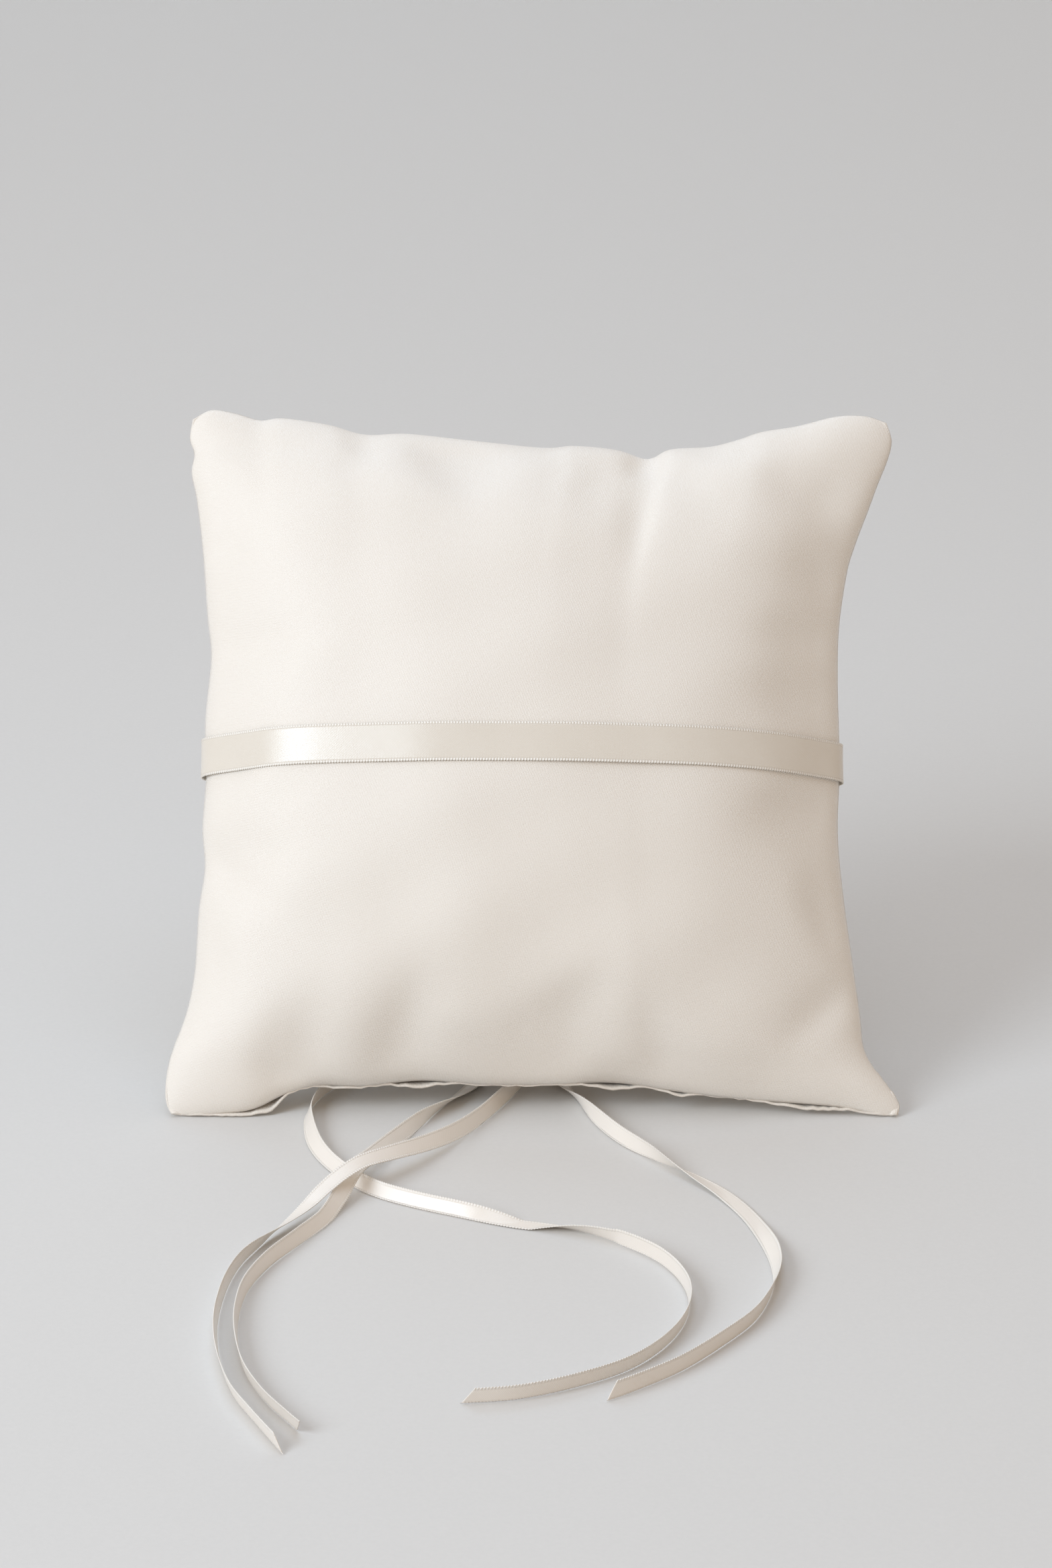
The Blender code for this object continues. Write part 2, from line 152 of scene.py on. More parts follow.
def thicken(piece, thickness, offset=0.0):
    """Gives the sheet its thickness and smooth shading."""
    select_only(piece)
    wall = piece.modifiers.new("cloth thickness", "SOLIDIFY")
    wall.thickness = thickness
    wall.offset = offset
    bpy.ops.object.modifier_apply(modifier=wall.name)
    bpy.ops.object.shade_smooth()


# %% [markdown]
# ## Smooth lines
# A curve that passes through a few marks, as a bent batten does, serves for the ribbon
# ends' way over the table and for the cover's outline.


# %% Smooth line through marks
def smooth_line(marks, pieces=12):
    """Points of a Catmull-Rom curve through the marks."""
    marks = np.array(marks, dtype=float)
    ends = [2 * marks[0] - marks[1], *marks, 2 * marks[-1] - marks[-2]]
    line = []
    for a, b, c, d in zip(ends, ends[1:], ends[2:], ends[3:]):
        for step in range(pieces):
            t = step / pieces
            bend = (2 * a - 5 * b + 4 * c - d) * t**2 + (3 * b - a - 3 * c + d) * t**3
            line.append(0.5 * (2 * b + (c - a) * t + bend))
    return np.array([*line, marks[-1]])


def lengths_along(line):
    return np.concatenate([[0.0], np.cumsum(np.linalg.norm(np.diff(line, axis=0), axis=1))])


def even_points(line, count):
    """The line again, with points a constant distance apart."""
    along = lengths_along(line)
    wanted = np.linspace(0, along[-1], count)
    return np.stack([np.interp(wanted, along, line[:, axis]) for axis in range(3)], axis=1)


# %% [markdown]
# ## Where the ribbon ends go
# Each narrow ribbon end leaves the fold under the bow, hangs down behind the pillow, and
# runs forward over the table. A ribbon can't bend in its own plane, so it stands on its
# edge wherever it curves, and it rises where it crosses another. The marks are the same
# as the frame's: across, forward of the corner line, and rise in ribbon widths.

# %% Routes of the four ribbon ends
TAIL_WIDTH = 0.0046
TAIL_THICKNESS = 0.00022
TAIL_PITCH = 0.005
FOLD_OUT = 0.04135
FOLD_BOTTOM = 0.08767
RISE = 0.66  # a soft ribbon crosses lower than the frame's stiff strips

TAIL_MARKS = {
    1: [(-.0100, .0600, 0), (-.0180, .0500, 0), (-.0320, .0400, 0), (-.0460, .0290, 0),
        (-.0560, .0160, 0), (-.0605, .0030, 0), (-.0605, -.0080, 0), (-.0575, -.0220, 0),
        (-.0515, -.0350, 0), (-.0430, -.0465, 0), (-.0330, -.0540, 0), (-.0200, -.0605, 0),
        (-.0050, -.0660, 0), (.0100, -.0705, 0), (.0230, -.0785, 0), (.0330, -.0890, 0),
        (.0385, -.1030, 0), (.0385, -.1170, 0), (.0335, -.1315, 0), (.0240, -.1445, 0),
        (.0110, -.1535, 0), (-.0030, -.1595, 0), (-.0170, -.1617, 0)],
    2: [(-.0035, .0600, 0), (-.0070, .0460, 0), (-.0120, .0320, 0), (-.0170, .0180, 0),
        (-.0220, .0080, 0), (-.0280, -.0025, 0), (-.0355, -.0160, .17), (-.0420, -.0310, .78),
        (-.0465, -.0430, 1.26), (-.0500, -.0560, .57), (-.0540, -.0670, 0),
        (-.0600, -.0780, 0), (-.0665, -.0900, 0), (-.0710, -.1030, 0), (-.0725, -.1160, 0),
        (-.0720, -.1300, 0), (-.0690, -.1465, 0), (-.0635, -.1605, 0), (-.0570, -.1715, 0),
        (-.0534, -.1771, 0)],
    3: [(.0030, .0600, 0), (.0015, .0460, 0), (-.0010, .0320, 0), (-.0045, .0180, 0),
        (-.0090, .0065, 0), (-.0145, -.0050, .07), (-.0210, -.0170, .48),
        (-.0290, -.0285, 1.22), (-.0375, -.0385, 2.02), (-.0455, -.0465, 2.43),
        (-.0530, -.0550, 1.87), (-.0605, -.0670, .83), (-.0675, -.0780, .13),
        (-.0730, -.0890, 0), (-.0760, -.1015, 0), (-.0773, -.1160, 0), (-.0770, -.1290, 0),
        (-.0750, -.1430, 0), (-.0710, -.1580, 0), (-.0650, -.1710, 0), (-.0577, -.1855, 0)],
    4: [(.0095, .0600, 0), (.0085, .0460, 0), (.0080, .0320, 0), (.0090, .0185, 0),
        (.0130, .0065, 0), (.0185, -.0060, 0), (.0255, -.0185, 0), (.0340, -.0300, 0),
        (.0430, -.0395, 0), (.0510, -.0505, 0), (.0570, -.0640, 0), (.0605, -.0790, 0),
        (.0616, -.0930, 0), (.0600, -.1050, 0), (.0550, -.1195, 0), (.0467, -.1320, 0),
        (.0360, -.1450, 0), (.0250, -.1545, 0), (.0173, -.1601, 0)],
}
# How far the ribbon's top edge leans to its left, in degrees, by share of its length.
TAIL_LEANS = {
    1: [(0, 90), (.16, 90), (.25, 15), (.34, 8), (.42, 48), (.50, 40), (.555, 30),
        (.585, 42), (.632, 104), (.680, 158), (.725, 186), (1, 190)],
    2: [(0, 90), (.20, 90), (.30, 85), (.36, 60), (.40, 20), (.44, -30), (.50, -56),
        (.56, -56), (.62, -34), (.70, -14), (.82, -10), (1, -15)],
    3: [(0, -90), (.20, -90), (.30, -35), (.40, -24), (.47, -44), (.53, -64), (.59, -88),
        (.641, -124), (.70, -175), (.80, -190), (.93, -195), (1, -190)],
    4: [(0, -90), (.20, -90), (.30, -80), (.351, -50), (.407, 15), (.455, 30), (.495, 0),
        (.545, -60), (.60, -84), (.66, -102), (.72, -140), (.80, -172), (1, -186)],
}


def tail_line(number):
    """The centre line of one ribbon end, from the fold to its cut end."""
    start = place((number - 2.5) * TAIL_PITCH, FOLD_OUT, FOLD_BOTTOM)
    hang = start - UP * TAIL_WIDTH
    low = floor_z + TAIL_WIDTH / 2
    drop, behind = hang[2] - low, hang[1] - 0.2 * TAIL_WIDTH
    marks = [hang]
    marks += [(hang[0], behind, low + share * drop) for share in (0.76, 0.52, 0.30)]
    marks += [(hang[0], behind - 0.0025, low + 0.12 * drop)]
    for x, forward, rise in TAIL_MARKS[number]:
        marks.append((x, tip_y + forward, low + rise * RISE * TAIL_WIDTH))
    line = smooth_line(marks)
    line[:, 2] = np.maximum(line[:, 2], low)
    return start, np.vstack([start, line])


for number in TAIL_MARKS:
    print("ribbon end", number, "is", lengths_along(tail_line(number)[1])[-1].round(4), "m")

# %% [markdown]
# ## A picot ribbon
# Satin ribbon is woven with a firm selvedge on both sides, and the weft loops round it
# as a row of tiny picots. The strip follows a centre line with a width direction at each
# point. Picots are the edge points, moved out and raised once per picot.

# %% Ribbon strip with picot edges
PICOT = 0.0008
PICOT_REACH = 0.00014
SELVEDGE_IN, SELVEDGE_WIDE, SELVEDGE_RAISE = 0.0003, 0.00022, 0.00005
PICOT_RAISE = 0.00008
FACE_SWELL = 0.00006
EDGE_STEPS = [0.0, 0.00016, 0.00032, 0.0005, 0.0008]  # from the edge in, in metres


def lay_ribbon(name, line, width_way, width, thickness, rows_per_picot=3, end_slant=0.0):
    """A ribbon of this width along the line; width_way holds a unit vector per point."""
    length = lengths_along(line)[-1]
    rows = int(length / PICOT) * rows_per_picot
    piece, s, t = new_grid(name, 12, rows)
    half = width / 2
    inward = [0.0, (half - EDGE_STEPS[-1]) / 2] + [half - step for step in EDGE_STEPS[::-1]]
    column = np.sign(s) * np.interp(np.abs(s), np.linspace(0, 1, 7), np.array(inward) / half)
    along = (t + 1) / 2 * length
    if end_slant:
        along = along - (1 - column) / 2 * end_slant * smooth_step(0.5, 1.0, (t + 1) / 2)
    known = lengths_along(line)
    centre = np.stack([np.interp(along, known, line[:, i]) for i in range(3)], axis=1)
    way = np.stack([np.interp(along, known, width_way[:, i]) for i in range(3)], axis=1)
    way /= np.linalg.norm(way, axis=1)[:, None]
    ahead = np.gradient(line, known, axis=0)
    ahead = np.stack([np.interp(along, known, ahead[:, i]) for i in range(3)], axis=1)
    ahead /= np.linalg.norm(ahead, axis=1)[:, None]
    face = np.cross(way, ahead)
    face /= np.linalg.norm(face, axis=1)[:, None]
    loop = np.cos(along / PICOT * 2 * math.pi)
    outward = width / 2 * column
    outward += np.sign(column) * (np.abs(column) > 0.99) * PICOT_REACH * loop
    from_edge = width / 2 * (1 - np.abs(column))
    selvedge = np.exp(-(((from_edge - SELVEDGE_IN) / SELVEDGE_WIDE) ** 2))
    raised = (selvedge * (SELVEDGE_RAISE + PICOT_RAISE * loop)
              + FACE_SWELL * (1 - column**2))
    points = centre + way * outward[:, None] + face * raised[:, None]
    lay(piece, points, width / 2 * (column + 1), along)
    thicken(piece, thickness)
    return piece


def resting_on_table(line, lean):
    """Lowers a leaning ribbon until its lower edge touches, as its own weight does."""
    share = lengths_along(line) / lengths_along(line)[-1]
    on_table = smooth_step(0.16, 0.26, share)
    half_height = TAIL_WIDTH / 2 * np.maximum(np.abs(np.cos(lean)), 0.12)
    line = line.copy()
    line[:, 2] -= on_table * (TAIL_WIDTH / 2 - half_height)
    return line


def tail_ribbon(number):
    start, line = tail_line(number)
    line = even_points(line, 900)
    share = lengths_along(line) / lengths_along(line)[-1]
    marks = smooth_line([(*mark, 0) for mark in TAIL_LEANS[number]], 6)
    lean = np.radians(np.interp(share, np.maximum.accumulate(marks[:, 0]), marks[:, 1]))
    line = resting_on_table(line, lean)
    ahead = np.gradient(line, axis=0)
    ahead /= np.linalg.norm(ahead, axis=1)[:, None]
    left = np.cross((0, 0, 1.0), ahead)
    left /= np.linalg.norm(left, axis=1)[:, None]
    above = np.cross(ahead, left)
    way = above * np.cos(lean)[:, None] + left * np.sin(lean)[:, None]
    piece = lay_ribbon(f"ribbon_end_{number}", line, way, TAIL_WIDTH, TAIL_THICKNESS,
                       end_slant=0.0035)
    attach(piece, "root")
    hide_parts(f"ring_tail_{number}")
    print(piece.name, len(piece.data.polygons), "faces")
    return piece


ribbon_ends = [tail_ribbon(number) for number in TAIL_MARKS]

# %% [markdown]
# ## The cover's outline
# The two covers are squares that are sewn edge to edge. Filling pulls the sides in and
# leaves the corners as ears, and each pucker of the seam is a small notch. The outline
# is marked in millimetres, across and up, from the middle of the line that the corners
# stand on.

# %% Outline marks
LEFT_SIDE = [(-98.2, .7), (-99.8, 3.6), (-100.1, 8.3), (-99.2, 15.7), (-96.6, 23.1),
             (-94.2, 31), (-92.6, 41), (-91.8, 57), (-90.3, 69), (-91.1, 80), (-90.3, 95),
             (-90.8, 110), (-89.4, 128), (-90.6, 140), (-92, 157), (-94, 173),
             (-95.7, 181.5), (-95.0, 187), (-96.3, 191.5), (-95.6, 197.2)]
RIGHT_SIDE = [(99.8, .4), (100.6, 3.5), (97.8, 8.3), (93.5, 14), (91.0, 19.5), (90.2, 28),
              (88.2, 44), (86, 62), (84.8, 79), (85.6, 98), (85.4, 121), (86, 137), (88.3, 152),
              (90.6, 160), (94.8, 171), (97.4, 178), (100.4, 185.5), (101.6, 191), (100.2, 196.2)]
TOP_SIDE = [(-95.6, 197.2), (-90.3, 200), (-83.5, 199), (-76.5, 197.0), (-70, 197.6),
            (-57, 195.6), (-47, 192.8), (-35, 193), (-19, 191.3), (3, 188.9), (12, 189.4),
            (24, 188.2), (32.7, 185.6), (39, 188.4), (50, 189.2), (58, 191.2), (65, 193.6),
            (75, 195.3), (86, 198.1), (94.3, 198.2), (100.2, 196.2)]
BOTTOM_SIDE = [(-98.2, .7), (-93.5, .4), (-85, .9), (-76, 2.2), (-67, 6.4), (-58, 8.6),
               (-46, 8.4), (-30, 10.0), (-14, 8.8), (4, 8.8), (22, 9.4), (38, 7.2),
               (50, 5.6), (64, 4.4), (84, 2.8), (95, .5), (99.8, .4)]
MM = 0.001


def side_line(marks, count):
    line = smooth_line([(x, y, 0) for x, y in marks], 10)
    return even_points(line, count)[:, :2] * MM


SIDE_POINTS = 401
SIDES = {name: side_line(marks, SIDE_POINTS) for name, marks in
         {"left": LEFT_SIDE, "right": RIGHT_SIDE,
          "top": TOP_SIDE, "bottom": BOTTOM_SIDE}.items()}


def on_side(name, share):
    return np.stack([np.interp(share, np.linspace(0, 1, SIDE_POINTS), SIDES[name][:, i])
                     for i in range(2)], axis=-1)


def flat_cover(s, t):
    """Where a point of the square cover lies inside the outline, across and up."""
    a, b = ((s + 1) / 2)[..., None], ((t + 1) / 2)[..., None]
    left, right = on_side("left", b[..., 0]), on_side("right", b[..., 0])
    bottom, top = on_side("bottom", a[..., 0]), on_side("top", a[..., 0])
    corners = [on_side("bottom", np.array(0.0)), on_side("bottom", np.array(1.0)),
               on_side("top", np.array(0.0)), on_side("top", np.array(1.0))]
    return ((1 - b) * bottom + b * top + (1 - a) * left + a * right
            - (1 - a) * (1 - b) * corners[0] - a * (1 - b) * corners[1]
            - (1 - a) * b * corners[2] - a * b * corners[3])


print("outline", {name: line.min(0).round(4).tolist() for name, line in SIDES.items()})

# %% [markdown]
# ## Crown and dents
# The filling gives each cover a crown that falls to the seam. Fingers and folds leave
# soft dents, mostly where the seam is drawn in. Each dent is a place, a length, a width,
# a turn and a depth.

# %% Crown with dents
BACK_BULGE = 0.031
FRONT_BULGE = 0.0345
BAND_UP = 0.0987
BACK_DENTS = [  # across, up, half length, half width (mm), turn (degrees), depth (mm)
    (32, 184, 8, 5, 62, 2.2), (20, 178, 12, 7, 30, 1.3), (42, 178, 8, 7, 100, 0.9),
    (-14, 184, 18, 7, 5, 1.5), (-46, 190, 7, 5, 80, 0.8), (-77, 192, 8, 6, 80, 0.5),
    (67, 189, 10, 7, 60, 0.5), (82, 172, 15, 9, 25, 1.2), (79, 149, 17, 8, -8, 1.6),
    (77, 131, 14, 7, 5, 1.3), (72, 116, 13, 7, 0, 0.6), (-90, 157, 9, 4, 20, 0.9),
    (-80, 128, 20, 5, 3, 0.8), (-84, 66, 14, 5, -38, 1.7), (-70, 84, 18, 7, 35, 0.5),
    (-62, 20, 13, 8, 60, 1.2), (-33, 22, 14, 8, 55, 1.1), (-66, 10, 9, 4, -18, 1.3),
    (84, 31, 12, 6, 35, 1.6), (76, 84, 14, 7, -15, 0.8), (88, 12, 9, 4.5, -12, 1.0),
    (33, 12, 6, 7, 90, 0.9), (20, 62, 34, 14, 40, 0.7), (30, 140, 40, 16, -50, 0.6),
    (-30, 60, 28, 12, 45, 0.5), (50, 40, 26, 12, 55, 0.7),
]


def dent_depth(across, up, dents):
    depth = np.zeros_like(across)
    for x, y, long, wide, turn, deep in dents:
        c, s = math.cos(math.radians(turn)), math.sin(math.radians(turn))
        dx, dy = across / MM - x, up / MM - y
        along, aside = dx * c + dy * s, -dx * s + dy * c
        depth += deep * MM * np.exp(-((along / long) ** 2) - (aside / wide) ** 2)
    return depth


def crown(s, t, fullness=0.58):
    return np.maximum((1 - s**2) * (1 - t**2), 0) ** fullness


def gather(s):
    """Spreads grid lines so that they lie closer near the seam."""
    return 0.42 * s + 0.58 * np.sin(s * math.pi / 2)


def waviness(across, up, size=0.0006):
    x, y = across * 1000, up * 1000
    return size * (np.sin(x / 13 + y / 31 + 1.3) * np.sin(y / 17 - x / 41 + 0.4)
                   + 0.6 * np.sin(x / 7.5 - y / 12 + 2.1) * np.sin(y / 9.1 + x / 23))


def back_shape(s, t):
    flat = flat_cover(s, t)
    across, up = flat[..., 0], flat[..., 1]
    lift = BACK_BULGE * crown(s, t)
    near_seam = smooth_step(0.0, 0.35, crown(s, t))
    lift = lift - dent_depth(across, up, BACK_DENTS) * near_seam - waviness(across, up) * near_seam
    lift = np.maximum(lift, 0)
    return across, -lift, up


def front_shape(s, t):
    flat = flat_cover(s, t)
    across, up = flat[..., 0], flat[..., 1]
    return across, FRONT_BULGE * crown(s, t, 0.62), up


# %% [markdown]
# ## Filling it: a cloth simulation
# Both covers are blown up together as one closed bag whose seam is held. The cloth is cut
# a little too large, so the pressure inside leaves real puckers along the seam. Only the
# way each point moved is kept, and it is capped, so that the outline stays as marked.

# %% Blow up the covers
CELLS = 96
steps = np.linspace(-1, 1, CELLS + 1)
grid_s, grid_t = np.meshgrid(gather(steps), gather(steps))


def bag_points():
    back = place(*back_shape(grid_s, grid_t)).reshape(-1, 3)
    front = place(*front_shape(grid_s, grid_t)).reshape(-1, 3)
    return back, front


def quads(start, flip):
    index = np.arange((CELLS + 1) ** 2).reshape(CELLS + 1, CELLS + 1) + start
    a, b, c, d = index[:-1, :-1], index[:-1, 1:], index[1:, 1:], index[1:, :-1]
    ring = (a, d, c, b) if flip else (a, b, c, d)
    return np.stack([corner.ravel() for corner in ring], axis=1).tolist()


def blown_up_moves():
    """How far pressure moves each point of the back and of the front."""
    back, front = bag_points()
    mesh = bpy.data.meshes.new("bag")
    mesh.from_pydata(np.vstack([back, front]).tolist(), [],
                     quads(0, False) + quads(len(back), True))
    bag = bpy.data.objects.new("bag", mesh)
    bpy.context.scene.collection.objects.link(bag)
    seam = bag.vertex_groups.new(name="seam")
    rim = np.zeros((CELLS + 1, CELLS + 1), bool)
    rim[[0, -1], :] = rim[:, [0, -1]] = True
    rim = np.flatnonzero(rim.ravel())
    seam.add(np.concatenate([rim, rim + len(back)]).tolist(), 1.0, "REPLACE")
    cloth = bag.modifiers.new("cloth", "CLOTH").settings
    cloth.quality = 5
    cloth.mass = 0.15
    cloth.tension_stiffness = cloth.compression_stiffness = 12
    cloth.shear_stiffness = 4
    cloth.bending_stiffness = 0.25
    cloth.vertex_group_mass = seam.name
    cloth.pin_stiffness = 1
    cloth.shrink_min = -0.022
    cloth.use_pressure = True
    cloth.uniform_pressure_force = 4
    cloth.effector_weights.gravity = 0
    for number in range(1, 21):
        bpy.context.scene.frame_set(number)
    select_only(bag)
    bpy.ops.object.modifier_apply(modifier="cloth")
    moved = np.empty(len(mesh.vertices) * 3)
    bag.data.vertices.foreach_get("co", moved)
    bpy.data.objects.remove(bag)
    bpy.context.scene.frame_set(1)
    return moved.reshape(-1, 3) - np.vstack([back, front])


CAP = 0.0024
moves = blown_up_moves()
reach = np.linalg.norm(moves, axis=1)
print("pressure moved points by up to", reach.max().round(4), "m, mean", reach.mean().round(4))
moves *= (CAP * np.tanh(reach / CAP) / np.maximum(reach, 1e-9))[:, None]
off_seam = np.tile(smooth_step(0.02, 0.65, crown(grid_s, grid_t)).ravel(), 2)[:, None]
outward_part = (moves @ OUT)[:, None] * OUT
settled = np.tile(smooth_step(0.03, 0.36, crown(grid_s, grid_t)).ravel(), 2)[:, None]
moves = outward_part * settled + (moves - outward_part) * off_seam
ears = (1 - smooth_step(0.42, 0.80, np.abs(grid_s * grid_t)))[..., None]


def calmed(field, passes=7):
    """Evens out creases that are finer than the filling can hold."""
    for _ in range(passes):
        wide = np.pad(field, ((1, 1), (1, 1), (0, 0)), mode="edge")
        field = (wide[:-2, 1:-1] + wide[2:, 1:-1] + wide[1:-1, :-2] + wide[1:-1, 2:]
                 + 2 * field) / 6
    return field


back_moves = calmed(moves[: (CELLS + 1) ** 2].reshape(CELLS + 1, CELLS + 1, 3)) * ears
front_moves = calmed(moves[(CELLS + 1) ** 2:].reshape(CELLS + 1, CELLS + 1, 3)) * ears


def moved_by(field, s, t):
    """The pressure's move at any point, between the simulated ones."""
    def cell(value):
        place_in = np.interp(value, gather(steps), np.arange(CELLS + 1))
        low = np.minimum(place_in.astype(int), CELLS - 1)
        return low, (place_in - low)[..., None]
    i, u = cell(s)
    j, v = cell(t)
    return ((1 - u) * (1 - v) * field[j, i] + u * (1 - v) * field[j, i + 1]
            + (1 - u) * v * field[j + 1, i] + u * v * field[j + 1, i + 1])


# %% [markdown]
# ## The back cover
# One square of satin, plain and smooth. It is laid over the blown up shape, and its wall
# grows inwards, so that its outer face keeps the outline.

# %% Back cover
FABRIC = 0.0006
LINING = 0.0004


def back_points(s, t):
    return place(*back_shape(s, t)) + moved_by(back_moves, s, t)


back_cover, s, t = new_grid("back_cover", 190, 190)
s, t = gather(s), gather(t)
flat = flat_cover(s, t)
lay(back_cover, back_points(s, t), flat[:, 0], flat[:, 1])
select_only(back_cover)
bpy.ops.object.shade_smooth()
thicken(back_cover, FABRIC, offset=-1.0)
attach(back_cover, "root")
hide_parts("back_panel")
print("back cover", len(back_cover.data.polygons), "faces")

# %% [markdown]
# ## The pleated front
# A wider piece of satin is gathered into folds that run across the cushion and is sewn
# over a plain lining. The folds are uneven: each is a round back with a sharp valley,
# and they drift and fade as hand-laid pleats do. At the bottom seam the gathered hem
# hangs a little below the back cover.

# %% Pleated cover
PLEATS = 22


def pleat_height(across, up):
    """How far the gathered satin stands above its lining, in metres."""
    x, y = across / 0.1, up / 0.196
    drift = (0.055 * np.sin(2.3 * x + 5 * y) + 0.03 * np.sin(5.1 * x - 7 * y + 1)
             + 0.018 * np.sin(11 * x + 13 * y + 2) + 0.05 * (x**2) * (y - 0.5))
    phase = (y + drift) * PLEATS
    uneven = 0.72 + 0.28 * np.sin(np.floor(phase) * 2.4 + 3 * x + 0.5)
    share = phase - np.floor(phase)
    fold = np.sin(math.pi * share) ** 0.65
    small = 0.25 * np.abs(np.sin(phase * math.pi * 2.37 + 4 * x + 1.1))
    return 0.0017 * uneven * fold + 0.0006 * small


HEM_PEEKS = [(-78, 9, 1.8), (-31, 7, 1.9), (22, 7, 1.8), (76, 12, 1.6), (-71, 3, 1.8),
             (40, 4, 1.2), (0, 30, 0.25), (-52, 7, 0.8)]


def hem_drop(across):
    """How far the gathered hem hangs below the seam, in metres."""
    drop = np.zeros_like(across)
    for x, wide, deep in HEM_PEEKS:
        drop += deep * MM * np.exp(-(((across / MM - x) / wide) ** 2))
    return drop


def pleated_points(s, t):
    across, out, up = front_shape(s, t)
    cover = crown(s, t)
    near_band = 1 - 0.75 * np.exp(-(((up - BAND_UP) / 0.007) ** 2))
    relief = pleat_height(across, up) * smooth_step(0.0, 0.22, cover) * near_band
    seam = 1 - smooth_step(0.0, 0.16, cover)
    bottom = seam * smooth_step(-0.6, -0.93, t)
    crumple = 0.0003 * np.sin(across * 1400 + 3 * np.sin(across * 310))
    up = up - bottom * (hem_drop(across) + crumple * 0.5)
    out = out + relief + bottom * (crumple - 0.0002)
    points = place(across, out, up)
    return points + moved_by(front_moves, s, t) * smooth_step(0.0, 0.3, cover)[..., None]


pleated_cover, s, t = new_grid("pleated_cover", 120, 320)
s, t = -gather(s), 0.8 * t + 0.2 * gather(t)
flat = flat_cover(s, t)
lay(pleated_cover, pleated_points(s, t), flat[:, 0], flat[:, 1])
thicken(pleated_cover, FABRIC, offset=-1.0)
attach(pleated_cover, "root")
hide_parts("pleated_front")
print("pleated cover", len(pleated_cover.data.polygons), "faces")

# %% [markdown]
# ## Inside: the lining
# The pleats are sewn over a plain lining. It isn't seen, but it is there in the real
# cushion, so it follows the pleated cover just inside it.

# %% Front lining
LINING_SHARE = 0.95
lining, s, t = new_grid("front_lining", 60, 60)
s, t = -gather(s) * LINING_SHARE, gather(t) * LINING_SHARE
flat = flat_cover(s, t)
across, out, up = front_shape(s, t)
inset = 0.0014 * smooth_step(0.0, 0.2, crown(s, t))
lining_move = moved_by(front_moves, s, t) * smooth_step(0.0, 0.3, crown(s, t))[..., None]
lay(lining, place(across, out * 0.97 - inset, up) + lining_move, flat[:, 0], flat[:, 1])
thicken(lining, LINING, offset=-1.0)
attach(lining, "root")
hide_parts("front_base_panel")

# %% [markdown]
# ## The filling
# Loose fibre takes the bag's own shape, so the filling is a cube with many cuts whose
# back and front follow the two covers, drawn in so that it stays inside the seam.

# %% Filling
FILLING_SHARE = 0.90  # of the covers, across and up
BACK_SHARE, FRONT_SHARE, MOVE_SHARE = 0.88, 0.86, 0.8

bpy.ops.object.select_all(action="DESELECT")
bpy.ops.mesh.primitive_cube_add(size=2)
filling = bpy.context.object
filling.name = filling.data.name = "fibre_filling"
bpy.ops.object.mode_set(mode="EDIT")
bpy.ops.mesh.select_all(action="SELECT")
bpy.ops.mesh.subdivide(number_cuts=47)
bpy.ops.object.mode_set(mode="OBJECT")
cube = np.empty(len(filling.data.vertices) * 3)
filling.data.vertices.foreach_get("co", cube)
cube = cube.reshape(-1, 3)
s = np.clip(gather(cube[:, 0]), -1, 1) * FILLING_SHARE
t = np.clip(gather(cube[:, 2]), -1, 1) * FILLING_SHARE
b_across, b_out, b_up = back_shape(s, t)
f_across, f_out, f_up = front_shape(s, t)
share = ((cube[:, 1] + 1) / 2)[:, None]
back_side = place(b_across, b_out * BACK_SHARE, b_up)
back_side = back_side + MOVE_SHARE * moved_by(back_moves, s, t)
front_side = place(f_across, f_out * FRONT_SHARE, f_up)
front_side = front_side + MOVE_SHARE * moved_by(front_moves, s, t)
body = back_side * (1 - share) + front_side * share
body[:, 2] = np.maximum(body[:, 2], floor_z + 3 * ABOVE_TABLE)
filling.data.vertices.foreach_set("co", body.ravel())
filling.data.update()
select_only(filling)
bpy.ops.object.shade_smooth()
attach(filling, "root")
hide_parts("filling")
print("filling", len(filling.data.polygons), "faces")

# %% [markdown]
# ## The waist ribbon
# A wider picot ribbon is tied round the middle. A stretched ribbon spans the hollows, so
# its way is the convex outline of the finished covers at its height, and it rolls a
# little proud of the seam at each side. Its two ends meet under the bow.

# %% Waist ribbon
BAND_WIDTH = 0.0107
BAND_THICKNESS = 0.0003
HALF_WAIST = 0.088


def band_height(across):
    """How high the ribbon sits; it sags a little in the middle and to the right."""
    share = across / HALF_WAIST
    return BAND_UP + 0.0006 * share**2 - 0.0007 * share - 0.0005


def cushion_section():
    """The covers' points at the ribbon's height, as across and out."""
    found = []
    for cover in (back_cover, pleated_cover):
        points = np.empty(len(cover.data.vertices) * 3)
        cover.data.vertices.foreach_get("co", points)
        away = points.reshape(-1, 3) - CORNER_LINE
        across, out, up = away @ ACROSS, away @ OUT, away @ UP
        near = np.abs(up - band_height(across)) < 0.6 * BAND_WIDTH
        found += list(zip(across[near], out[near]))
    return sorted(found)


def taut_outline(points):
    """The convex outline of the points, as a stretched ribbon takes it."""
    outline = []
    for order in (points, points[::-1]):
        chain = []
        for x, y in order:
            while len(chain) > 1:
                (ax, ay), (bx, by) = chain[-2:]
                if (bx - ax) * (y - ay) - (by - ay) * (x - ax) > 0:
                    break
                chain.pop()
            chain.append((x, y))
        outline += chain[:-1]
    return np.array([*outline, outline[0]])


